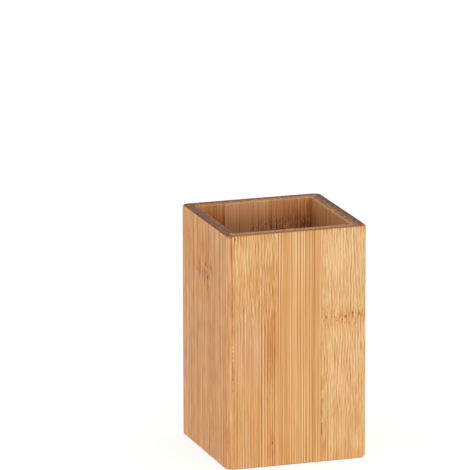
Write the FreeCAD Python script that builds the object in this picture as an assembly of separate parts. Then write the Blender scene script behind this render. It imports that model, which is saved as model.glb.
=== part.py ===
import FreeCAD, Part
import os

# Square toothbrush cup of laminated bamboo, in millimetres.
# The origin is the centre of the underside, +Z is up and the front wall faces -Y.
# Each wall is a board of upright strips glued edge to edge. One end of the board is square
# and the other is rebated, and the lip that the rebate leaves covers the square end of the
# next wall round, so the four corners run round the cup like a pinwheel.
# The base board is let into a rebate round the foot of the walls, flush with their underside.

# Outer size
side = 66.0
height = 107.3

# Boards
wall_thickness = 5.8
base_thickness = 5.8

# Corner and foot joints: what a rebate leaves of the wall's thickness
lip_thickness = 2.6
base_clearance = 0.1

# Sanded edges
corner_radius = 3.0
rim_outer_radius = 0.5
rim_inner_radius = 0.8
foot_radius = 0.6

# Widths of the strips in each board, as shares of the board's width on the outside.
# The walls follow each other round the cup, anticlockwise from above. A wall's strips are
# listed from its square end to its lip, and the base's from left to right.
wall_strip_names = ("butt_strip", "middle_strip", "lip_strip")
wall_strip_shares = {
    "front": (0.330, 0.330, 0.340),
    "right": (0.335, 0.333, 0.332),
    "back": (0.350, 0.350, 0.300),
    "left": (0.339, 0.328, 0.333),
}
base_strip_names = ("left_strip", "middle_strip", "right_strip")
base_strip_shares = (0.325, 0.350, 0.325)

half_side = side / 2
half_mouth = half_side - wall_thickness
half_rebate = half_side - lip_thickness
overrun = wall_thickness
level_tolerance = wall_thickness / 1000


def block(low, high):
    """Box between two corners."""
    size = [far - near for near, far in zip(low, high)]
    return Part.makeBox(*size, FreeCAD.Vector(*low))


def square_block(half_width, bottom, top):
    """Box centred on the cup's axis."""
    return block((-half_width, -half_width, bottom), (half_width, half_width, top))


def upright_edges(shape):
    """Edges that run parallel to Z."""
    return [edge for edge in shape.Edges if edge.BoundBox.ZLength > height / 2]


def level_edges(shape, level, reach_limit=None):
    """Edges that lie at one height, and no further out than the limit where one is given."""
    found = []
    for edge in shape.Edges:
        box = edge.BoundBox
        flat = max(abs(box.ZMin - level), abs(box.ZMax - level)) < level_tolerance
        reach = max(abs(box.XMin), abs(box.XMax), abs(box.YMin), abs(box.YMax))
        if flat and (reach_limit is None or reach < reach_limit):
            found.append(edge)
    return found


def walls_in_one():
    """The glued-up and sanded walls as one ring, before they are parted into strips."""
    outer = square_block(half_side, 0, height)
    outer = outer.makeFillet(corner_radius, upright_edges(outer))
    outer = outer.makeFillet(rim_outer_radius, level_edges(outer, height))
    outer = outer.makeFillet(foot_radius, level_edges(outer, 0))
    ring = outer.cut(square_block(half_mouth, -overrun, height + overrun))
    mouth_limit = half_mouth + wall_thickness / 2
    ring = ring.makeFillet(rim_inner_radius, level_edges(ring, height, mouth_limit))
    return ring.cut(square_block(half_rebate, -overrun, base_thickness))


def strip_bounds(start, end, shares):
    """Both sides of each strip, where the shares divide the board from start to end."""
    bounds = []
    near = start
    for share in shares:
        far = near + (end - start) * share / sum(shares)
        bounds.append((near, far))
        near = far
    return bounds


def wall_strip_space(near, far):
    """The space of one front wall strip: its width by the wall, less the corner rebate."""
    low = (near, -half_side, 0)
    high = (far, -half_mouth, height)
    rebate_low = (half_mouth, -half_rebate, -overrun)
    rebate_high = (half_side + overrun, -half_mouth + overrun, height + overrun)
    return block(low, high).cut(block(rebate_low, rebate_high))


def wall_strips(ring, wall, turn):
    """The strips of one wall, cut from the ring at the front and turned to their own side."""
    strips = {}
    bounds = strip_bounds(-half_rebate, half_side, wall_strip_shares[wall])
    for name, (near, far) in zip(wall_strip_names, bounds):
        strip = ring.common(wall_strip_space(near, far))
        strip.rotate(FreeCAD.Vector(), FreeCAD.Vector(0, 0, 1), turn)
        strips[wall + "_wall_" + name] = strip
    return strips


def base_strips():
    """The strips of the base board, side by side from left to right."""
    strips = {}
    reach = half_rebate - base_clearance
    for name, (near, far) in zip(base_strip_names, strip_bounds(-reach, reach, base_strip_shares)):
        strips["base_" + name] = block((near, -reach, 0), (far, reach, base_thickness))
    return strips


def make_parts():
    """Every strip of the cup by its node's name."""
    ring = walls_in_one()
    parts = {}
    for place, wall in enumerate(wall_strip_shares):
        turn = 360 * place / len(wall_strip_shares)
        parts.update(wall_strips(ring, wall, turn))
    parts.update(base_strips())
    return parts


def write_parts(parts):
    """One file for each strip, and a line that says what it holds."""
    os.makedirs("parts", exist_ok=True)
    for name, shape in parts.items():
        solid = shape.Solids[0] if len(shape.Solids) == 1 else shape
        solid.exportStep("parts/" + name + ".step")
        print(name, "solids", len(shape.Solids), "volume", round(shape.Volume, 1), "valid", shape.isValid())


write_parts(make_parts())
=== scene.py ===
import math
import bmesh
import bpy
from mathutils import Matrix, Vector, noise


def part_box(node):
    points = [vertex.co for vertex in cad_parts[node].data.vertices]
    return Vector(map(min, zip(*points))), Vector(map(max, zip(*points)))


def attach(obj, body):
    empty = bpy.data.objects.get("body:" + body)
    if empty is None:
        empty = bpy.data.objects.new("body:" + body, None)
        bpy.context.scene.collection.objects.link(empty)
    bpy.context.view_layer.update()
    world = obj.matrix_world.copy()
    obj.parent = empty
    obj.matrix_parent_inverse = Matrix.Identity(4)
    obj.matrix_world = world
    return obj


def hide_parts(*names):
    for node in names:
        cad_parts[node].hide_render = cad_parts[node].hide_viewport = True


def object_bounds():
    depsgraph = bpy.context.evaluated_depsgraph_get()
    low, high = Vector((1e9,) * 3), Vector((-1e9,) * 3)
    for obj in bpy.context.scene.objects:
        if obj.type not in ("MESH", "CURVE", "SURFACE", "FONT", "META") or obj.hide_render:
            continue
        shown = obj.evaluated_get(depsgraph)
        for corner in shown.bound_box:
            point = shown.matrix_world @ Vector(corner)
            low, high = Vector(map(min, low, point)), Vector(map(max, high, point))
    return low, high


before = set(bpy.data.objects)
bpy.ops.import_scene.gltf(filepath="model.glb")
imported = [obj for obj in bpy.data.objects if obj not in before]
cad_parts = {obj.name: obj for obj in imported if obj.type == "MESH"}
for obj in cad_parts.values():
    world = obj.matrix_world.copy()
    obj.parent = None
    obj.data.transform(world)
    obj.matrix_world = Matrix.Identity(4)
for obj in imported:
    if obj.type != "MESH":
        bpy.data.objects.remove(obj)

# The toothbrush cup, dressed. Lengths are in millimetres until a mesh is made, and the studio's
# are in metres. The four walls are one wall, a quarter turn on each time, so a strip's shape
# and its wood are given as if it were in the front wall.
MM = 0.001
cad_low, cad_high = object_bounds()

# Sizes that the frame gives
side = (cad_high.x - cad_low.x) / MM
height = cad_high.z / MM
half_side = side / 2
wall_low, wall_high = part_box("front_wall_middle_strip")
wall_thickness = (wall_high.y - wall_low.y) / MM
half_mouth = half_side - wall_thickness
lip_thickness = (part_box("front_wall_butt_strip")[0].x - cad_low.x) / MM
base_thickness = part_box("base_middle_strip")[1].z / MM

# Sanded edges, as on the solids
corner_radius = 3.0
rim_outer_radius = 0.5
rim_inner_radius = 0.8
foot_radius = 0.6
base_edge_radius = 0.15

# Relief and wear, too fine for the solids
relief_depth = 0.035
relief_edge_fade = 0.5    # the relief fades out this near to a glued edge
relief_end_fade = 2.0     # and this near to the rim and the foot
node_depth = 0.05         # swirls at the cane's joints
glue_gap_depth = 0.35     # open glue lines
glue_gap_width = 0.35
rim_unevenness = 0.18     # share by which the rim's rounding varies
corner_wear = 1.5         # share by which it grows at the end of a lip

# Mesh spacing, closer at the edges
across_step = 0.5
along_step = 0.8
edge_steps = (0.0, 0.15, 0.4)
arc_steps = 12
foot_rings = (0.0, 0.08, 0.25, 0.5, 1.0)  # heights, as shares of the foot's radius
rim_depth = 1.2                           # how far down the rim's rings begin
rim_rings = (0.75, 0.5, 0.32, 0.18, 0.08, 0.03, 0.0)  # depths, as shares of that
weld_distance = 0.0005
sharp_angle = 40

WALLS = ("front", "right", "back", "left")
QUARTER_TURN = math.pi / 2


def colour(red, green, blue):
    """A colour given in the usual 0 to 255 steps, as light, by the sRGB curve."""
    def light(value):
        share = value / 255
        return share / 12.92 if share <= 0.04045 else ((share + 0.055) / 1.055) ** 2.4
    return (light(red), light(green), light(blue), 1.0)


def blend(low, high, value):
    """A smooth step from 0 at low to 1 at high, which may be the smaller."""
    share = min(max((value - low) / (high - low), 0.0), 1.0)
    return share * share * (3 - 2 * share)


# Camera, at the photograph's place and aim. Its pan, tilt and roll, in degrees, are from a
# camera that looks straight at the middle of the cup.
camera_azimuth = -18.770
camera_elevation = 14.884
camera_distance = 2495.8
camera_target_height = 55.85
camera_pan = 0.4099
camera_tilt = -0.9357
camera_roll = -0.1137
camera_lens = 424.5
sensor_width = 36.0
camera_reach = (0.1, 20.0)  # in metres


def direction(azimuth, elevation):
    """Unit vector from the object towards a camera at these angles, in radians."""
    level = math.cos(elevation)
    return Vector((math.sin(azimuth) * level, -math.cos(azimuth) * level, math.sin(elevation)))


def make_camera():
    azimuth, elevation = math.radians(camera_azimuth), math.radians(camera_elevation)
    target = Vector((0, 0, camera_target_height))
    place = target + direction(azimuth, elevation) * camera_distance
    azimuth += math.radians(camera_pan)
    elevation += math.radians(camera_tilt)
    back = direction(azimuth, elevation)
    right = Vector((math.cos(azimuth), math.sin(azimuth), 0))
    up = back.cross(right)
    roll = Matrix.Rotation(math.radians(camera_roll), 3, "Z")
    turn = Matrix((right, up, back)).transposed() @ roll
    data = bpy.data.cameras.new("camera")
    data.sensor_width = sensor_width
    data.lens = camera_lens
    data.clip_start, data.clip_end = camera_reach
    camera = bpy.data.objects.new("camera", data)
    camera.matrix_world = Matrix.Translation(place * MM) @ turn.to_4x4()
    bpy.context.scene.collection.objects.link(camera)
    bpy.context.scene.camera = camera


# Studio: a pale floor that glows like the paper of a photo table, a pale sky and soft panels
floor_level = -0.02 * MM
floor_reach = 4.0
floor_shade = 0.6
floor_roughness = 0.9
floor_specular = 0.1
floor_glow = 0.67
sky_strength = 0.6
WHITE = (1.0, 1.0, 1.0)
WARM_WHITE = (1.0, 0.97, 0.91)


def make_panel(name, azimuth, elevation, distance, size, power, tint):
    """A soft light panel that faces the cup."""
    data = bpy.data.lights.new(name, "AREA")
    data.shape = "SQUARE"
    data.size = size
    data.energy = power
    data.color = tint
    back = direction(math.radians(azimuth), math.radians(elevation))
    panel = bpy.data.objects.new(name, data)
    panel.location = Vector((0, 0, height * MM / 2)) + back * distance
    panel.rotation_mode = "QUATERNION"
    panel.rotation_quaternion = back.to_track_quat("Z", "Y")
    bpy.context.scene.collection.objects.link(panel)


def make_sky():
    world = bpy.data.worlds.new("studio")
    world.use_nodes = True
    sky = world.node_tree.nodes["Background"]
    sky.inputs["Color"].default_value = (*WHITE, 1.0)
    sky.inputs["Strength"].default_value = sky_strength
    bpy.context.scene.world = world


def make_floor_paint():
    paint = bpy.data.materials.new("floor_paint")
    paint.use_nodes = True
    shader = paint.node_tree.nodes["Principled BSDF"]
    shader.inputs["Base Color"].default_value = (floor_shade, floor_shade, floor_shade, 1.0)
    shader.inputs["Roughness"].default_value = floor_roughness
    shader.inputs["Specular IOR Level"].default_value = floor_specular
    shader.inputs["Emission Color"].default_value = (*WHITE, 1.0)
    shader.inputs["Emission Strength"].default_value = floor_glow
    return paint


def make_floor():
    mesh = bpy.data.meshes.new("floor")
    near, far = -floor_reach, floor_reach
    corners = [(near, near), (far, near), (far, far), (near, far)]
    mesh.from_pydata([(x, y, floor_level) for x, y in corners], [], [(0, 1, 2, 3)])
    mesh.materials.append(make_floor_paint())
    floor = bpy.data.objects.new("floor", mesh)
    bpy.context.scene.collection.objects.link(floor)


def make_studio():
    bpy.context.scene.view_settings.view_transform = "Standard"
    make_sky()
    make_floor()
    make_panel("key_panel", azimuth=18, elevation=6, distance=1.6, size=1.0, power=5.6,
               tint=WARM_WHITE)
    make_panel("left_panel", azimuth=-80, elevation=20, distance=1.8, size=1.2, power=0.3,
               tint=WHITE)


class Graph:
    """A new material and short calls that add its nodes. A value is a number or a node's result."""

    def __init__(self, name):
        self.material = bpy.data.materials.new(name)
        self.material.use_nodes = True
        self.tree = self.material.node_tree
        self.shader = self.tree.nodes["Principled BSDF"]

    def put(self, socket, value):
        if isinstance(value, bpy.types.NodeSocket):
            self.tree.links.new(value, socket)
        else:
            socket.default_value = value

    def node(self, kind, inputs, **settings):
        made = self.tree.nodes.new(kind)
        for key, value in settings.items():
            setattr(made, key, value)
        for key, value in inputs.items():
            self.put(made.inputs[key], value)
        return made

    def math(self, operation, first, second=0.0):
        inputs = {0: first} if operation in ("ABSOLUTE", "SQRT") else {0: first, 1: second}
        return self.node("ShaderNodeMath", inputs, operation=operation).outputs[0]

    def add(self, *values):
        total = values[0]
        for value in values[1:]:
            total = self.math("ADD", total, value)
        return total

    def product(self, first, second):
        return self.math("MULTIPLY", first, second)

    def distance(self, value, place):
        return self.math("ABSOLUTE", self.math("SUBTRACT", value, place))

    def swing(self, value, amount):
        """A 0 to 1 value as a swing about zero."""
        return self.product(self.math("SUBTRACT", value, 0.5), amount)

    def step(self, value, low, high):
        """A smooth step from 0 at low to 1 at high, which may be the smaller."""
        inputs = {"Value": value, "From Min": min(low, high), "From Max": max(low, high)}
        if low > high:
            inputs.update({"To Min": 1.0, "To Max": 0.0})
        return self.node("ShaderNodeMapRange", inputs, interpolation_type="SMOOTHSTEP").outputs[0]

    def largest(self, masks):
        """The strongest of several masks, or nothing."""
        total = 0.0
        for mask in masks:
            total = mask if isinstance(total, float) else self.math("MAXIMUM", total, mask)
        return total

    def point(self, x, y, z):
        return self.node("ShaderNodeCombineXYZ", {0: x, 1: y, 2: z}).outputs[0]

    def parts(self, vector):
        return self.node("ShaderNodeSeparateXYZ", {0: vector}).outputs[:]

    def noise(self, vector, detail=2.0, roughness=0.5):
        inputs = {"Vector": vector, "Scale": 1.0, "Detail": detail, "Roughness": roughness}
        return self.node("ShaderNodeTexNoise", inputs).outputs["Fac"]

    def stripes(self, vector, frequency):
        """Stripes across the first axis, broken up every unit or so, from 0 to 1."""
        inputs = {"Vector": vector, "Scale": 1.0, "Frequency": frequency, "Anisotropy": 1.0}
        made = self.node("ShaderNodeTexGabor", inputs, gabor_type="3D")
        orientation = made.inputs[5]
        orientation.default_value = (1.0, 0.0, 0.0)
        return made.outputs["Value"]

    def cells(self, vector):
        """Distance to the nearest of scattered points, about a unit apart."""
        made = self.node("ShaderNodeTexVoronoi", {"Vector": vector, "Scale": 1.0})
        return made.outputs["Distance"]

    def mix(self, factor, first, second, blend_type="MIX"):
        """Two colours mixed. The numbers are the node's sockets for colours."""
        inputs = {0: factor, 6: first, 7: second}
        made = self.node("ShaderNodeMix", inputs, data_type="RGBA", blend_type=blend_type)
        return made.outputs[2]

    def ramp(self, value, stops):
        """Colours by value; stops are (place, colour) pairs."""
        made = self.node("ShaderNodeValToRGB", {"Fac": value})
        elements = made.color_ramp.elements
        while len(elements) < len(stops):
            elements.new(0.5)
        for element, (place, shade) in zip(elements, stops):
            element.position = place
            element.color = shade
        return made.outputs["Color"]


# What the grain of a strip is like. Places are (across, along) in millimetres from the strip's
# near edge and the cup's foot, and strengths are steps of tone, where 1 is the whole range
# from the darkest fibre to the palest ground. A tint gives shares of red, green and blue light.
GRAIN = {
    "tone": 0.0,           # lighter or darker overall
    "tint": (1.0, 1.0, 1.0),
    "line": 0.35,          # long straight lines of fibre
    "line_width": 1.1,     # how wide such a line is
    "streak": 0.3,         # broader, shorter streaks
    "streak_length": 40.0,
    "bundle": 1.0,         # long, evenly spaced fibre bundles
    "spacing": 1.3,        # from bundle to bundle
    "rind_tone": 0.0,      # lighter or darker outer part of the end grain
    "rind_warmth": 0.0,    # how brown its outermost part is
    "end_tone": 0.0,       # lighter or darker inner part of it
    "end_tint": (1.0, 1.0, 1.0),
    "rind": (3.3, 4.6),    # depths between which the outer part gives way to the inner
    "end_wrap": (0.7, 0.95),  # how level a surface is where end grain begins and where it is all
    "rim_edge": 0.1,       # lighter or darker along the rim's outer edge
    "foot_edge": -0.3,     # and along the foot's edge
    "inside": 0.0,         # painted shade: lighter or darker inside the cup
    "mouth": 0.6,          # painted light: how much lighter the inside is at the mouth than deep down
    "deep": 0.2,           # painted shade: how much greyer the inside is deep down
    "stroke": 0.35,        # short strokes everywhere
    "flame": 0.0,          # further strokes, at the heights of flame_spans
    "flame_spans": (),     # (low, high) heights
    "flame_length": 9.0,   # how long a stroke is
    "mottle": 0.08,        # soft blotches everywhere
    "lines": (),           # (across, half width, strength) of single lines
    "patches": (),         # (across, along, half width, half length, strength)
    "warm": (),            # the same, for redder cane
    "pink": (),            # and for pinker cane
    "hue": 0.8,            # redder and yellower stripes
    "nodes": (),           # (height, first across, last across) of the cane's joints
    "node_grain": 0.75,    # how wide a joint's swirls are
    "node_strength": 1.0,
    "dots": (),            # (across, along, radius) of dark fibre ends
    "chips": (),           # the same, of pale chips
    "glue": -0.06,         # thin line where the near edge is glued
    "edge_dashes": (),     # (low, high, strength) where that line is open
    "corner_dashes": (),   # (depth, low, high) of thin cracks where a lip shows its edge
}

# What the strips of a wall share
WALL_GRAIN = {
    "front": dict(
        rind_tone=0.62,
        rind_warmth=1.0,
        end_tone=0.34,
        rind=(1.7, 2.8),
        end_wrap=(0.6, 0.9),
        rim_edge=-0.1,
        inside=-0.06,
    ),
    "left": dict(
        line=1.0,
        line_width=1.6,
        bundle=1.3,
        stroke=0.6,
        mottle=0.45,
        rim_edge=0.2,
        rind_tone=0.22,
        rind_warmth=0.8,
        end_tone=-0.08,
        node_grain=0.9,
    ),
    "right": dict(
        end_tone=0.12,
        rind=(1.4, 5.8),
        # A greyer, bluer end grain on the rim: painted reflection of the pale studio
        end_tint=(1.0, 1.08, 1.24),
        inside=-0.1,
        mouth=0.4,
        deep=0.5,
    ),
    "back": dict(
        rind_tone=0.1,
        end_tone=0.2,
        rind=(2.6, 4.0),
        # A greyer, bluer end grain on the rim: painted reflection of the pale studio
        end_tint=(1.0, 1.04, 1.12),
        rim_edge=0.0,
        mouth=0.5,
        deep=1.0,
    ),
}

# What is each strip's own
STRIPS = {
    "front_wall_butt_strip": dict(
        tone=0.02,
        line=0.55,
        bundle=1.35,
        spacing=1.4,
        flame=0.95,
        flame_spans=((66.0, 112.0),),
        flame_length=5.5,
        mottle=0.14,
        lines=((19.3, 0.3, -0.12), (12.6, 0.25, -0.08), (6.2, 0.25, -0.08)),
        patches=(
            (17.8, 89.0, 1.5, 7.0, -0.12),
            (17.9, 58.0, 2.7, 20.0, -0.13),
            (8.0, 52.0, 2.8, 18.0, -0.05),
            (13.0, 57.0, 2.4, 13.0, 0.07),
            (4.0, 96.0, 3.0, 6.0, 0.08),
            (2.4, 84.0, 2.4, 18.0, 0.09),
            (18.5, 5.0, 1.6, 9.0, -0.14),
            (12.5, 76.0, 3.0, 16.0, 0.05),
            (10.0, 99.0, 12.0, 8.0, 0.08),
            (2.5, 14.0, 2.5, 18.0, -0.08),
            (2.7, 100.0, 2.6, 6.0, 0.05),
            (3.5, 52.0, 0.9, 16.0, 0.13),
            (11.2, 52.0, 1.1, 16.0, 0.11),
            (14.2, 53.0, 0.5, 14.0, -0.06),
            (0.15, 22.0, 0.4, 26.0, -0.16),
            (1.5, 45.0, 0.35, 22.0, -0.1),
        ),
        warm=(
            (18.0, 57.0, 3.8, 20.0, 0.65),
            (16.0, 85.0, 4.0, 9.0, 0.2),
            (17.0, 14.0, 2.5, 14.0, 0.7),
        ),
        pink=(
            (7.0, 55.0, 9.5, 19.0, 0.85),
            (7.5, 12.0, 5.0, 12.0, 0.4),
            (13.0, 84.0, 3.0, 8.0, 0.4),
        ),
        chips=((0.1, 56.6, 0.3), (0.2, 54.8, 0.4), (0.1, 52.7, 0.3), (0.25, 50.7, 0.4)),
        dots=((18.9, 10.9, 0.4), (1.45, 105.9, 0.4)),
        glue=-0.1,
        edge_dashes=(
            (68.8, 87.5, 0.4), (61.9, 66.5, 0.4), (49.5, 54.6, 0.6), (41.3, 49.2, 1.2),
            (36.0, 37.4, 0.8),
        ),
    ),
    "front_wall_middle_strip": dict(
        tint=(1.01, 1.0, 0.98),
        line=0.55,
        bundle=1.3,
        spacing=1.2,
        stroke=0.25,
        mottle=0.05,
        hue=0.35,
        lines=(
            (1.55, 0.2, -0.1), (3.85, 0.2, -0.1), (4.85, 0.25, -0.15), (6.95, 0.25, -0.14),
            (9.95, 0.2, -0.18), (13.55, 0.2, -0.14), (17.1, 0.4, -0.2), (19.2, 1.0, 0.1),
            (11.5, 2.0, 0.07), (7.9, 2.0, 0.11), (2.6, 1.2, -0.04),
        ),
        patches=((10.0, 97.0, 12.0, 12.0, 0.05), (7.9, 6.0, 2.6, 14.0, -0.06)),
    ),
    "front_wall_lip_strip": dict(
        tone=0.14,
        tint=(1.0, 1.01, 1.04),
        line=0.2,
        bundle=1.05,
        streak=0.5,
        streak_length=14.0,
        stroke=0.55,
        flame=0.8,
        flame_spans=((24.0, 115.0),),
        flame_length=5.0,
        mottle=0.12,
        hue=0.6,
        nodes=((66.8, -1.0, 23.0),),
        node_strength=1.5,
        dots=(
            (2.0, 66.7, 0.5), (4.7, 66.6, 0.5), (7.2, 66.2, 0.45), (7.1, 65.0, 0.4),
            (11.2, 66.5, 0.45), (14.6, 67.7, 0.5), (14.5, 66.4, 0.45), (18.1, 67.3, 0.5),
        ),
        edge_dashes=(
            (54.4, 55.8, 1.0), (32.9, 37.5, 0.8), (21.3, 29.7, 0.8), (12.5, 18.1, 1.0),
        ),
        patches=(
            (17.0, 19.0, 3.0, 7.0, -0.1),
            (7.0, 26.0, 2.0, 5.0, -0.08),
            (10.0, 95.0, 6.0, 9.0, 0.08),
            (1.0, 8.0, 2.5, 12.0, -0.12),
            (17.5, 76.0, 4.0, 5.0, -0.07),
            (22.0, 55.0, 0.9, 90.0, -0.14),
            (2.8, 74.0, 2.6, 34.0, 0.07),
            (10.0, 66.0, 6.0, 5.0, -0.04),
            (12.0, 3.0, 9.0, 7.0, -0.09),
        ),
        warm=(
            (12.0, 0.0, 12.0, 7.0, 0.6),
            (10.0, 65.0, 7.0, 6.0, 0.5),
            (8.0, 88.0, 3.5, 7.0, 0.6),
            (10.5, 40.0, 5.0, 7.0, 0.35),
            (13.0, 16.0, 3.0, 6.0, 0.3),
        ),
    ),
    "left_wall_middle_strip": dict(
        nodes=((84.0, 1.5, 20.0),),
        node_strength=0.8,
        lines=(
            (0.9, 0.5, -0.12), (4.4, 0.9, 0.08), (6.3, 0.4, -0.12), (9.3, 0.4, -0.06),
            (10.6, 0.5, 0.06), (11.9, 0.35, -0.08), (14.8, 0.5, 0.08), (16.8, 1.1, -0.14),
            (19.5, 0.4, -0.08),
        ),
        patches=(
            (12.0, 98.0, 6.0, 6.0, -0.06),
            (12.0, 84.0, 10.0, 10.0, -0.05),
            # The dark fibre ends of its joint
            (11.0, 87.4, 1.0, 0.9, -0.45), (10.3, 84.4, 0.9, 1.1, -0.45),
            (14.2, 82.0, 0.9, 1.2, -0.42), (3.6, 86.4, 0.9, 3.0, -0.32),
            (3.0, 81.9, 0.9, 1.8, -0.3), (14.2, 78.2, 0.7, 2.4, -0.26),
            (10.0, 81.0, 0.7, 2.4, -0.3), (7.2, 80.6, 0.7, 2.8, -0.3),
            (12.2, 89.6, 0.7, 2.0, -0.25), (19.2, 87.6, 1.0, 1.8, -0.24),
            (20.5, 84.4, 0.8, 2.4, -0.18), (0.2, 82.8, 1.0, 1.0, -0.2),
            # and the pale ground between them
            (5.8, 80.6, 0.8, 3.4, 0.3), (8.6, 81.4, 0.7, 3.0, 0.3),
            (12.3, 81.6, 0.7, 3.0, 0.2), (18.8, 84.4, 0.8, 2.2, 0.34),
            (17.2, 80.6, 1.2, 1.7, 0.3), (5.4, 86.8, 0.9, 0.9, 0.26),
            (8.6, 86.7, 1.0, 0.9, 0.28), (12.4, 85.9, 0.9, 1.4, 0.3),
        ),
        warm=((10.0, 92.0, 14.0, 20.0, 0.7),),
    ),
    "left_wall_lip_strip": dict(
        tone=0.04,
        lines=(
            (3.4, 0.4, -0.12), (8.0, 0.9, 0.1), (10.6, 0.8, 0.07), (15.6, 0.8, -0.08),
            (17.4, 0.6, -0.1), (19.7, 0.5, 0.16),
        ),
        patches=(
            (19.5, 92.0, 1.6, 18.0, 0.1),
            (20.95, 40.0, 0.8, 80.0, -0.08),
            (20.6, 107.05, 1.3, 0.65, -0.65),
            (20.95, 12.0, 0.8, 18.0, -0.07),
            (17.0, 28.0, 3.0, 7.0, 0.08),
            (10.0, 8.0, 4.0, 12.0, -0.05),
            (3.3, 88.0, 3.2, 7.0, -0.1),
        ),
        warm=((20.2, 98.0, 3.5, 12.0, 0.4),),
        corner_dashes=((1.6, 70.0, 87.0), (1.2, 50.6, 61.6), (0.6, 8.0, 20.0)),
    ),
    "left_wall_butt_strip": dict(
        lines=((4.9, 1.2, 0.08), (9.1, 0.5, 0.06), (13.1, 0.4, -0.12), (16.8, 0.4, -0.06)),
        patches=((3.0, 40.0, 3.0, 50.0, 0.02),),
        warm=((12.0, 98.0, 14.0, 16.0, 0.6), (16.5, 84.0, 4.0, 8.0, 0.5)),
        pink=((2.0, 30.0, 6.0, 45.0, 0.7),),
    ),
    "right_wall_butt_strip": dict(flame=0.5, flame_spans=((8.0, 55.0),)),
    "right_wall_middle_strip": dict(
        nodes=((38.0, -1.0, 23.0),),
        flame=0.45,
        flame_spans=((15.0, 65.0),),
    ),
    "right_wall_lip_strip": dict(line=0.6, stroke=0.1),
    "back_wall_butt_strip": dict(
        tone=0.1,
        inside=-0.27,
        mouth=0.35,
        mottle=0.15,
        flame=0.55,
        flame_spans=((55.0, 115.0),),
        nodes=((95.5, 3.0, 23.0),),
    ),
    "back_wall_middle_strip": dict(
        line=0.6,
        bundle=0.6,
        stroke=0.15,
        mottle=0.14,
        inside=-0.08,
        glue=-0.4,
        nodes=((95.0, -1.0, 9.0),),
    ),
    "back_wall_lip_strip": dict(
        glue=-0.5,
        bundle=0.6,
        inside=-0.36,
        lines=((0.45, 0.4, -0.26),),
        warm=((11.5, 104.5, 3.5, 3.0, 0.9),),
        nodes=((72.0, -1.0, 20.0),),
        flame=0.5,
        flame_spans=((35.0, 100.0),),
    ),
}
BASE_STRIP = dict(tone=-0.05, glue=-0.2)

# The light of each wall's cane
WALL_TINT = {
    "front": (1.0, 1.01, 1.05),
    "right": (1.03, 0.92, 0.9),
    "back": (1.08, 0.98, 1.05),
    "left": (1.0, 0.945, 1.03),
}

# Bamboo's colours from open joints through its dark fibres to its pale ground, by tone
BAMBOO_TONES = (
    (-0.25, colour(104, 60, 32)),
    (0.00, colour(158, 96, 50)),
    (0.20, colour(197, 132, 75)),
    (0.40, colour(214, 155, 96)),
    (0.50, colour(222, 167, 106)),
    (0.65, colour(232, 183, 125)),
    (0.80, colour(240, 196, 140)),
    (1.00, colour(249, 213, 164)),
)
MIDDLE_TONE = 0.5
RED_CANE = (1.0, 0.9, 0.8, 1.0)
PINK_CANE = (0.99, 0.99, 1.24, 1.0)
YELLOW_CANE = (0.97, 1.0, 0.96, 1.0)
JOINT_SHADE = (0.3, 0.22, 0.16, 1.0)
# Painted shade deep inside the cup, as a greyer, bluer colour
DEEP_PAINTED_SHADE = (1.0, 1.28, 1.65, 1.0)
END_OUTER_STOPS = (
    (0.00, colour(84, 50, 34)),
    (0.45, colour(138, 95, 74)),
    (1.00, colour(180, 132, 104)),
)
END_INNER_STOPS = (
    (0.00, colour(112, 74, 46)),
    (0.45, colour(176, 126, 88)),
    (1.00, colour(236, 178, 136)),
)

# Strengths and sizes that the marks of all strips share. An edge is a pair of distances,
# where the mark has gone and where it is full. A swing is how far noise moves a tone, and a
# raggedness how far it moves an edge.
seed_shift = 17.3         # from one strip's noise to the next
wander_swing = 1.0        # how far fibres drift sideways, slowly
wobble_swing = 0.09       # and quickly
broad_swing = 0.2
fine_swing = 0.4
bundle_length = 120.0
bundle_thickness = 2.5
stripes_per_cell = 2.0
stroke_swing = 0.6        # of uneven strokes
even_strokes = 0.8        # strength of evenly spaced ones
even_stroke_shift = 31.0  # from the bundles' places to theirs
flame_fade = 7.0          # how far strokes go on beyond their heights
flame_calm = 0.5          # share of the bundles that gives way to them
flame_mottle = 0.15       # and blotches that they bring, for their strength
patch_edge = (1.6, 0.2)
patch_raggedness = 1.3
dot_edge = (1.5, 0.4)
dot_raggedness = 0.8
dot_stretch = 1.25        # how much longer than wide
dot_tone = -0.36
chip_tone = 0.4
line_edge = 1.8           # how far a single line fades out, in half widths
node_bow = 2.0            # how far a joint's height swings
node_edge = (6.5, 0.5)
node_dip_edge = (6.0, 1.0)
node_end_fade = 1.5
node_swing = 0.75
node_tone_shift = -0.06
glue_edge = (0.3, 0.05)
dash_edge = (0.45, 0.15)
dash_raggedness = 0.5
dash_end_fade = 0.4
dash_tone = -0.6
crack_edge = (0.3, 0.08)
crack_raggedness = 0.6
crack_end_fade = 1.0
crack_tone = -0.25
lip_edge_across = (18.0, 19.0)   # where on a lip strip its edge shows
painted_light_mouth_heights = (-14.3, 0.7)     # from the rim, between which the inside gets lighter: painted light towards the mouth
painted_shade_deep_heights = (-4.0, -14.0)     # and greyer: painted shade deep down
rim_edge_heights = (-0.7, -0.3)
foot_edge_heights = (0.7, 0.1)   # from the foot
end_ground = 0.54                # tone of the end grain, and what its dots add
end_dot_tone = -0.42
end_dot_edge = (0.6, 0.2)
hatch_swing = 1.2
cloud_swing = 0.9
end_joint_edge = (0.25, 0.05)    # half the width of a glue line on it
end_joint_strength = 0.55
housing_fade = 0.1
rind_skin = (2.0, 0.6)           # depths of the brown outermost part of the end grain
rind_raggedness = 1.0
red_hue = (0.5, 0.72)            # noise between which cane gets redder
yellow_hue = (0.5, 0.3)          # and yellower

# The finish of oiled wood
base_roughness = 0.56
stroke_roughness = 0.15
blotch_roughness = 0.1
specular_level = 0.08
bump_strength = 0.4
bump_depth = 0.05


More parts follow.
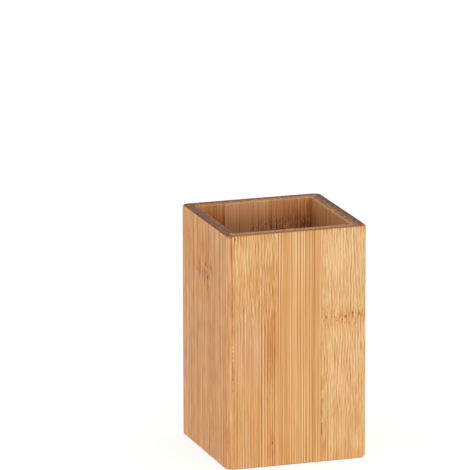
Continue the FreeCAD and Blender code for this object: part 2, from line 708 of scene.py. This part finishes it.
class Wood:
    """The coordinates of one strip's wood, and noise drawn out along its fibres."""

    def __init__(self, graph, turn, near, seed, lying):
        self.graph = graph
        place = graph.node("ShaderNodeTexCoord", {}).outputs["Object"]
        if lying:
            rotation, offset = (QUARTER_TURN, 0, 0), (-near, base_thickness, 0)
        else:
            rotation, offset = (0, 0, -turn), (-near, half_side, 0)
        inputs = {"Vector": place, "Location": offset, "Rotation": rotation, "Scale": (1 / MM,) * 3}
        mapped = graph.node("ShaderNodeMapping", inputs).outputs[0]
        self.across, self.depth, self.along = graph.parts(mapped)
        self.shift = seed * seed_shift
        wander = self.field(width=16, thickness=16, length=80, detail=1.0)
        wobble = self.field(width=3.0, thickness=4.0, length=14, detail=1.0)
        self.sideways = graph.add(
            self.across, graph.swing(wander, wander_swing), graph.swing(wobble, wobble_swing))

    def field(self, width, thickness, length, fibres=False, **settings):
        """Noise whose grains have this size, straight or along the wandering fibres."""
        graph = self.graph
        across = self.sideways if fibres else self.across
        spot = graph.point(
            graph.add(graph.product(across, 1 / width), self.shift),
            graph.product(self.depth, 1 / thickness),
            graph.product(self.along, 1 / length),
        )
        return graph.noise(spot, **settings)

    def bundles(self, spacing, length, shift):
        """Evenly spaced fibre bundles, each about this long. Another shift gives other ones."""
        graph = self.graph
        cell_width = stripes_per_cell * spacing
        spot = graph.point(
            graph.add(graph.product(self.sideways, 1 / cell_width), self.shift + shift),
            graph.product(self.along, 1 / length),
            graph.product(self.depth, 1 / bundle_thickness),
        )
        return graph.swing(graph.stripes(spot, stripes_per_cell), 1.0)

    def span(self, value, low, high, fade):
        """1 between two values, fading out beyond them."""
        graph = self.graph
        rise = graph.step(value, low - fade, low + fade)
        return graph.product(rise, graph.step(value, high + fade, high - fade))

    def ellipse(self, across, along, half_width, half_length):
        """Distance from a point, where 1 is the rim of an ellipse round it."""
        graph = self.graph
        x = graph.product(graph.math("SUBTRACT", self.sideways, across), 1 / half_width)
        z = graph.product(graph.math("SUBTRACT", self.along, along), 1 / half_length)
        return graph.math("SQRT", graph.add(graph.product(x, x), graph.product(z, z)))

    def inner_side(self):
        """0 in the outer half of a board and 1 in the innermost fifth."""
        return self.graph.step(self.depth, wall_thickness * 0.5, wall_thickness * 0.8)


def line_tone(wood, grain):
    """Long lines, streaks, broad bands and the finest fibres, which are also given alone."""
    graph = wood.graph
    line = wood.field(width=grain["line_width"], thickness=2.4, length=170, fibres=True,
                      detail=2.0, roughness=0.6)
    streak = wood.field(width=2.8, thickness=4.0, length=grain["streak_length"], fibres=True,
                        detail=1.0)
    broad = wood.field(width=5.0, thickness=6.0, length=110, fibres=True, detail=1.0)
    fine = wood.field(width=0.16, thickness=0.4, length=22, fibres=True, detail=1.0)
    fine = graph.swing(fine, fine_swing)
    lines = graph.add(
        graph.swing(line, grain["line"]),
        graph.swing(streak, grain["streak"]),
        graph.swing(broad, broad_swing),
        fine,
    )
    return lines, fine


def fibre_tone(wood, grain):
    """All of the even grain. Its strokes and its blotches are also given alone."""
    graph = wood.graph
    lines, fine = line_tone(wood, grain)
    flame = graph.largest(
        [wood.span(wood.along, low, high, flame_fade) for low, high in grain["flame_spans"]])
    calm = graph.add(grain["bundle"], graph.product(flame, -flame_calm * grain["bundle"]))
    hairs = graph.product(wood.bundles(grain["spacing"], bundle_length, 0.0), calm)
    stroke = wood.field(width=0.45, thickness=1.0, length=grain["flame_length"], fibres=True,
                        detail=1.0, roughness=0.4)
    even = wood.bundles(grain["spacing"], grain["flame_length"], even_stroke_shift)
    even = graph.product(even, even_strokes)
    strength = graph.add(graph.product(flame, grain["flame"]), grain["stroke"])
    strokes = graph.product(graph.add(graph.swing(stroke, stroke_swing), even), strength)
    blotch = wood.field(width=3.4, thickness=5.0, length=9.0, fibres=True, detail=2.0)
    mottle = graph.add(graph.product(flame, grain["flame"] * flame_mottle), grain["mottle"])
    blotches = graph.product(graph.swing(blotch, 1.0), mottle)
    return graph.add(lines, hairs, strokes, blotches), graph.add(stroke, fine), blotch


def patches(wood, places, stroke):
    """Soft ragged ellipses, drawn out along the grain."""
    graph = wood.graph
    total = 0.0
    for across, along, half_width, half_length, strength in places:
        ragged = graph.add(
            wood.ellipse(across, along, half_width, half_length),
            graph.swing(stroke, patch_raggedness))
        total = graph.add(total, graph.product(graph.step(ragged, *patch_edge), strength))
    return total


def placed_tone(wood, grain, stroke):
    """What has a place of its own: painted shade inside the cup, lighter towards the mouth, the
    edges, and single lines and patches.
    """
    graph = wood.graph
    # Painted shade on the inside of the cup, with painted light towards the mouth
    mouth = graph.step(wood.along, *(height + offset for offset in painted_light_mouth_heights))
    lighter = graph.add(grain["inside"] - grain["mouth"] / 3, graph.product(mouth, grain["mouth"]))
    rim_edge = graph.step(wood.along, *(height + offset for offset in rim_edge_heights))
    foot_edge = graph.step(wood.along, *foot_edge_heights)
    total = graph.add(
        grain["tone"],
        graph.product(wood.inner_side(), lighter),
        graph.product(rim_edge, grain["rim_edge"]),
        graph.product(foot_edge, grain["foot_edge"]),
    )
    for centre, half_width, strength in grain["lines"]:
        distance = graph.distance(wood.sideways, centre)
        line = graph.step(distance, half_width * line_edge, 0.0)
        total = graph.add(total, graph.product(line, strength))
    return graph.add(total, patches(wood, grain["patches"], stroke))


def node_tone(wood, grain, stroke):
    """The cane's joints, each a swirled darker band, and single fibre ends and chips."""
    graph = wood.graph
    total = 0.0
    for node_height, first, last in grain["nodes"]:
        bow = wood.field(width=6, thickness=6, length=300, detail=1.0)
        level = graph.add(wood.along, graph.swing(bow, node_bow))
        band = graph.product(
            graph.step(graph.distance(level, node_height), *node_edge),
            wood.span(wood.across, first, last, node_end_fade))
        swirl = wood.field(width=grain["node_grain"], thickness=0.9, length=1.6, fibres=True,
                           detail=2.0)
        swirl = graph.add(graph.swing(swirl, node_swing), node_tone_shift)
        dip = graph.product(graph.product(band, grain["node_strength"]), swirl)
        total = graph.add(total, dip)
    for tone, spots in ((dot_tone, grain["dots"]), (chip_tone, grain["chips"])):
        for across, along, radius in spots:
            ragged = graph.add(
                wood.ellipse(across, along, radius, radius * dot_stretch),
                graph.swing(stroke, dot_raggedness))
            total = graph.add(total, graph.product(graph.step(ragged, *dot_edge), tone))
    return total


def glue_tone(wood, grain):
    """The glue line at the near edge, dark where it is open, and cracks in a lip's edge."""
    graph = wood.graph
    near_edge = graph.step(graph.math("ABSOLUTE", wood.across), *glue_edge)
    total = graph.product(near_edge, grain["glue"])
    if grain["edge_dashes"]:
        dashes = [
            graph.product(wood.span(wood.along, low, high, dash_end_fade), strength)
            for low, high, strength in grain["edge_dashes"]
        ]
        ragged = wood.field(width=0.5, thickness=0.5, length=2.5, detail=2.0)
        broken = graph.add(wood.across, graph.swing(ragged, dash_raggedness))
        dash = graph.product(graph.step(broken, *dash_edge), graph.largest(dashes))
        total = graph.add(total, graph.product(dash, dash_tone))
    for depth, low, high in grain["corner_dashes"]:
        ragged = wood.field(width=2.0, thickness=0.5, length=3.0, detail=2.0)
        aside = graph.math("SUBTRACT", wood.depth, depth)
        broken = graph.add(aside, graph.swing(ragged, crack_raggedness))
        crack = graph.step(graph.math("ABSOLUTE", broken), *crack_edge)
        place = graph.product(
            wood.span(wood.along, low, high, crack_end_fade),
            graph.step(wood.across, *lip_edge_across))
        total = graph.add(total, graph.product(graph.product(crack, place), crack_tone))
    return total


def tinted(stops, tint):
    """Colour stops with their light multiplied by a tint."""
    shares = (*tint, 1.0)
    return [
        (place, tuple(light * share for light, share in zip(shade, shares)))
        for place, shade in stops
    ]


def end_tone(wood):
    """Cut fibre bundles, hatched and clouded."""
    graph = wood.graph
    bundle_width, bundle_depth = 0.8, 0.5
    spot = graph.point(
        graph.product(wood.across, 1 / bundle_width),
        graph.product(wood.depth, 1 / bundle_depth),
        wood.shift,
    )
    dots = graph.step(graph.cells(spot), *end_dot_edge)
    hatch = wood.field(width=0.8, thickness=3.5, length=90, detail=2.0)
    cloud = wood.field(width=4.0, thickness=1.2, length=90, detail=2.0)
    return graph.add(
        end_ground,
        graph.product(dots, end_dot_tone),
        graph.swing(hatch, hatch_swing),
        graph.swing(cloud, cloud_swing),
    )


def end_joints(wood, butts):
    """The glue lines on the end grain: at the near edge, and round a butt end in its housing."""
    graph = wood.graph
    joint = graph.step(wood.across, *end_joint_edge)
    if not butts:
        return joint
    housed = wall_thickness - lip_thickness
    housing = graph.product(
        graph.step(wood.depth, *(wall_thickness - width for width in end_joint_edge)),
        graph.step(wood.across, housed + housing_fade, housed - housing_fade))
    return graph.math("MAXIMUM", joint, housing)


def end_grain(wood, grain, butts):
    """Cut ends, darker and denser towards the outside of the board, and glue lines."""
    graph = wood.graph
    tone = end_tone(wood)
    inner_tone = graph.math("MAXIMUM", graph.add(tone, grain["end_tone"]), 0.0)
    outer_tone = graph.math("MAXIMUM", graph.add(tone, grain["rind_tone"]), 0.0)
    ragged = wood.field(width=1.5, thickness=1.5, length=90)
    ragged = graph.add(wood.depth, graph.swing(ragged, rind_raggedness))
    outer_face = graph.ramp(outer_tone, tinted(END_OUTER_STOPS, grain["end_tint"]))
    inner_face = graph.ramp(inner_tone, tinted(END_INNER_STOPS, grain["end_tint"]))
    skin = graph.product(graph.step(ragged, *rind_skin), grain["rind_warmth"])
    outer_face = graph.mix(skin, outer_face, RED_CANE, "MULTIPLY")
    face = graph.mix(graph.step(ragged, *grain["rind"]), outer_face, inner_face)
    joint = graph.product(end_joints(wood, butts), end_joint_strength)
    return graph.mix(joint, face, JOINT_SHADE, "MULTIPLY")


def bamboo_colour(graph, tone, tint):
    """The colour of a tone, with its light multiplied by the tint."""
    darkest, palest = BAMBOO_TONES[0][0], BAMBOO_TONES[-1][0]
    span = palest - darkest
    stops = [((place - darkest) / span, shade) for place, shade in tinted(BAMBOO_TONES, tint)]
    return graph.ramp(graph.product(graph.math("SUBTRACT", tone, darkest), 1 / span), stops)


def cane_hue(wood, grain, face, stroke):
    """Redder, yellower and pinker cane."""
    graph = wood.graph
    hue = wood.field(width=1.8, thickness=2.4, length=50, fibres=True, detail=1.0)
    redness = graph.add(
        graph.product(graph.step(hue, *red_hue), grain["hue"]),
        patches(wood, grain["warm"], stroke))
    yellowness = graph.product(graph.step(hue, *yellow_hue), grain["hue"])
    face = graph.mix(graph.math("MINIMUM", redness, 1.0), face, RED_CANE, "MULTIPLY")
    face = graph.mix(yellowness, face, YELLOW_CANE, "MULTIPLY")
    if grain["pink"]:
        face = graph.mix(patches(wood, grain["pink"], stroke), face, PINK_CANE, "MULTIPLY")
    return face


def make_bamboo(name, turn, near, grain, seed, tint, butts=False, lying=False):
    """One strip's material, in the strip's own frame: across, depth and along its fibres."""
    graph = Graph(name + "_bamboo")
    wood = Wood(graph, turn, near, seed, lying)
    fibres, stroke, blotch = fibre_tone(wood, grain)
    marks = graph.add(
        placed_tone(wood, grain, stroke), node_tone(wood, grain, stroke), glue_tone(wood, grain))
    tint = [wall_share * own_share for wall_share, own_share in zip(tint, grain["tint"])]
    face = bamboo_colour(graph, graph.add(MIDDLE_TONE, fibres, marks), tint)
    face = cane_hue(wood, grain, face, stroke)
    if not lying:
        # Painted shade deep inside the cup: a greyer, bluer colour towards the bottom
        depths = graph.step(wood.along, *(height + offset for offset in painted_shade_deep_heights))
        deep = graph.product(graph.product(wood.inner_side(), depths), grain["deep"])
        face = graph.mix(deep, face, DEEP_PAINTED_SHADE, "MULTIPLY")
        normal = graph.node("ShaderNodeNewGeometry", {}).outputs["Normal"]
        upright = graph.math("ABSOLUTE", graph.parts(normal)[2])
        cut = graph.step(upright, *grain["end_wrap"])
        face = graph.mix(cut, face, end_grain(wood, grain, butts))

    rough = graph.add(
        base_roughness,
        graph.swing(stroke, stroke_roughness),
        graph.swing(blotch, blotch_roughness),
    )
    bump = graph.node("ShaderNodeBump", {
        "Strength": bump_strength, "Distance": bump_depth * MM, "Height": stroke})
    graph.put(graph.shader.inputs["Base Color"], face)
    graph.put(graph.shader.inputs["Roughness"], rough)
    graph.put(graph.shader.inputs["Normal"], bump.outputs[0])
    graph.shader.inputs["Specular IOR Level"].default_value = specular_level
    return graph.material


# Outlines of the strips in plan, for the front wall. A point is (x, y, kind): outer points lie
# on the outside of the cup, inner ones on its inside, and side ones in a glued joint.
def spaced(low, high):
    """Places from low to high, closer together at both ends."""
    inner = [low + step for step in edge_steps if low + step < high]
    outer = [high - step for step in reversed(edge_steps) if high - step > inner[-1]]
    count = max(1, round((outer[0] - inner[-1]) / across_step))
    gap = (outer[0] - inner[-1]) / count
    return inner + [inner[-1] + gap * (index + 1) for index in range(count - 1)] + outer


def outside_y(x):
    """Where the front's outside lies at x, with the rounding of its corners."""
    beyond = abs(x) - (half_side - corner_radius)
    if beyond <= 0:
        return -half_side
    return -half_side + corner_radius - math.sqrt(corner_radius ** 2 - beyond ** 2)


def outside_points(near, far):
    """The outside of a strip from its near edge to its far edge, round the corner on a lip strip.

    The lip is thinner than the corner's radius, so it ends within the rounding.
    """
    if far < half_side - wall_thickness:
        return [(x, outside_y(x), "outer") for x in spaced(near, far)]
    centre = half_side - corner_radius
    points = [(x, -half_side, "outer") for x in spaced(near, centre)]
    turn = QUARTER_TURN - math.asin((corner_radius - lip_thickness) / corner_radius)
    for index in range(1, arc_steps + 1):
        angle = turn * index / arc_steps
        x = centre + corner_radius * math.sin(angle)
        points.append((x, -centre - corner_radius * math.cos(angle), "outer"))
    return points


def strip_outline(near, far):
    """The plan of one strip of the front wall, anticlockwise from its near outer edge."""
    points = outside_points(near, far)
    lip_y = -half_side + lip_thickness
    near_inside, far_inside = max(near, -half_mouth), min(far, half_mouth)
    points.append((far_inside, lip_y, "side"))
    points += [(x, -half_mouth, "inner") for x in reversed(spaced(near_inside, far_inside))]
    if near < -half_mouth:
        points.append((near, -half_mouth, "side"))
    points.append((near, lip_y, "side"))
    return points


def rounding(distance, radius):
    """How far a rounded edge has drawn back at this distance from the end of the piece."""
    if distance >= radius:
        return 0.0
    return radius - math.sqrt(radius ** 2 - (radius - distance) ** 2)


def levels():
    """Heights of a wall strip's rings, each with whether it is cut back for the base."""
    foot = [foot_radius * share for share in foot_rings]
    lower = foot + [base_thickness / 2, base_thickness]
    top_start = height - rim_depth
    count = round((top_start - base_thickness) / along_step)
    gap = (top_start - base_thickness) / count
    body = [base_thickness + gap * index for index in range(count + 1)]
    rim = [height - rim_depth * share for share in rim_rings]
    return [(level, True) for level in lower] + [(level, False) for level in body + rim]


def grained(across, along, width, length, layer):
    """Smooth noise from -1 to 1 whose grains have this size. Each layer is another noise."""
    return noise.noise(Vector((across / width, along / length, layer)))


def relief(seed, across, along):
    """Fine unevenness of a sanded face, from 0 to 1."""
    long_wave = grained(across, along, width=1.3, length=22.0, layer=seed * 7.7)
    short_wave = grained(across, along, width=0.7, length=5.0, layer=seed * 3.1 + 40.0)
    return 0.5 + 0.35 * long_wave + 0.15 * short_wave


def glue_gap(grain, across, along, seed):
    """How deep the glue line at the near edge is open here."""
    if across >= glue_gap_width:
        return 0.0
    fade = dash_end_fade
    openings = [
        strength * blend(low - fade, low + fade, along) * blend(high + fade, high - fade, along)
        for low, high, strength in grain["edge_dashes"]
    ]
    ragged = 0.8 + 0.8 * noise.noise(Vector((along / 1.6, seed * 4.1, 9.0)))
    open_share = max(openings, default=0.0) * ragged
    return glue_gap_depth * open_share * (1 - across / glue_gap_width)


def node_dip(grain, across, along, seed):
    """The shallow swirls of the cane's joints."""
    depth = 0.0
    fade = node_end_fade
    for node_height, first, last in grain["nodes"]:
        band = blend(*node_dip_edge, abs(along - node_height))
        band *= blend(first - fade, first + fade, across) * blend(last + fade, last - fade, across)
        swirl = 0.5 + 0.8 * grained(across, along, width=1.4, length=2.2, layer=seed * 5.3)
        depth += node_depth * band * max(swirl, 0.0)
    return depth


def worn_inset(x, y, above, below, wave):
    """How far the outside has drawn back at the rim and the foot, more so at the end of a lip."""
    wave *= 1 + corner_wear * blend(-corner_radius - 1.0, lip_thickness, x + y)
    return max(rounding(above, rim_outer_radius * wave), rounding(below, foot_radius * wave))


def outward_from(x, y):
    """Straight out of the outside at a point in plan, also round the corner."""
    centre = half_side - corner_radius
    outward_x = math.copysign(max(abs(x) - centre, 0), x)
    return Vector((outward_x, min(y + centre, 0), 0)).normalized()


def ring_point(spot, level, cut_back, near, far, seed, grain):
    """A point of the outline at one height, with the rounded ends and the fine relief."""
    x, y, kind = spot
    if cut_back and y > -half_side + lip_thickness and kind != "outer":
        return Vector((x, -half_side + lip_thickness, level))
    if kind == "side":
        return Vector((x, y, level))
    above, below, across = height - level, level, x - near
    wave = 1 + rim_unevenness * noise.noise(Vector((x / 5.0, seed * 2.3, 1.7)))
    fade = blend(0.0, relief_edge_fade, min(across, far - x))
    fade *= blend(0.0, relief_end_fade, above) * blend(0.0, relief_end_fade, below)
    dent = relief_depth * relief(seed, across, level) + node_dip(grain, across, level, seed)
    dent *= fade
    if kind == "outer":
        dent += glue_gap(grain, across, level, seed)
        inset = worn_inset(x, y, above, below, wave)
        return Vector((x, y, level)) - outward_from(x, y) * (inset + dent)
    inset = rounding(above, rim_inner_radius * wave)
    sideways = 0.0
    if abs(x) >= half_mouth - MM:
        sideways = math.copysign(inset, x)
    return Vector((x + sideways, y - inset - dent, level))


def mesh_piece(name, verts, faces, material):
    """A new object from points in metres, shaded smooth except at its sharp edges."""
    mesh = bpy.data.meshes.new(name)
    mesh.from_pydata(verts, [], faces)
    work = bmesh.new()
    work.from_mesh(mesh)
    bmesh.ops.remove_doubles(work, verts=work.verts, dist=weld_distance * MM)
    bmesh.ops.dissolve_degenerate(work, edges=work.edges, dist=weld_distance * MM)
    bmesh.ops.recalc_face_normals(work, faces=work.faces)
    work.to_mesh(mesh)
    work.free()
    mesh.shade_smooth()
    mesh.set_sharp_from_angle(angle=math.radians(sharp_angle))
    mesh.materials.append(material)
    piece = bpy.data.objects.new(name, mesh)
    bpy.context.scene.collection.objects.link(piece)
    return piece


def loft(rings):
    """Faces that join closed rings of points, with a cap on the first and the last."""
    count = len(rings[0])
    faces = [tuple(reversed(range(count)))]
    for ring in range(len(rings) - 1):
        for index in range(count):
            following = (index + 1) % count
            low, high = ring * count, (ring + 1) * count
            faces.append((low + index, low + following, high + following, high + index))
    top = (len(rings) - 1) * count
    faces.append(tuple(range(top, top + count)))
    return faces


def strip_bounds(node, turn):
    """Near and far edge of a wall strip, in the front wall's frame."""
    back = Matrix.Rotation(-turn, 3, "Z")
    ends = [(back @ corner).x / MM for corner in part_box(node)]
    return min(ends), max(ends)


def finish_piece(rings, node, material):
    """The piece that joins these rings and takes the place of the node's solid."""
    verts = [point for ring in rings for point in ring]
    piece = mesh_piece(node + "_grain", verts, loft(rings), material)
    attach(piece, "root")
    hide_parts(node)


def make_wall_strip(wall, strip, seed):
    node = wall + "_wall_" + strip
    turn = WALLS.index(wall) * QUARTER_TURN
    near, far = strip_bounds(node, turn)
    outline = strip_outline(near, far)
    spin = Matrix.Rotation(turn, 3, "Z") * MM
    grain = {**GRAIN, **WALL_GRAIN[wall], **STRIPS[node]}
    rings = [
        [spin @ ring_point(spot, level, cut_back, near, far, seed, grain) for spot in outline]
        for level, cut_back in levels()
    ]
    butts = near < -half_mouth
    material = make_bamboo(node, turn, near, grain, seed, WALL_TINT[wall], butts)
    finish_piece(rings, node, material)


def base_ring(low, high, level):
    """The outline of a base strip at one height, drawn in by its rounded edges."""
    inset = rounding(min(level - low.z, high.z - level), base_edge_radius)
    xs, ys = spaced(low.x, high.x), spaced(low.y, high.y)
    west, east, south, north = low.x + inset, high.x - inset, low.y + inset, high.y - inset
    ring = [(x, south) for x in xs[:-1]] + [(east, y) for y in ys[:-1]]
    ring += [(x, north) for x in reversed(xs[1:])] + [(west, y) for y in reversed(ys[1:])]
    return [
        Vector((min(max(x, west), east), min(max(y, south), north), level)) * MM for x, y in ring
    ]


def make_base_strip(strip, seed):
    """A strip of the base board, with its grain running from front to back."""
    node = "base_" + strip
    low, high = (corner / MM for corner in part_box(node))
    insets = [base_edge_radius * share for share in (0.0, 0.3, 1.0)]
    heights = [low.z + inset for inset in insets] + [high.z - inset for inset in reversed(insets)]
    rings = [base_ring(low, high, level) for level in heights]
    grain = {**GRAIN, **BASE_STRIP}
    material = make_bamboo(node, 0.0, low.x, grain, seed, WALL_TINT["back"], lying=True)
    finish_piece(rings, node, material)


make_camera()
make_studio()
seed = 1
for wall in WALLS:
    for strip in ("butt_strip", "middle_strip", "lip_strip"):
        make_wall_strip(wall, strip, seed)
        seed += 1
for strip in ("left_strip", "middle_strip", "right_strip"):
    make_base_strip(strip, seed)
    seed += 1
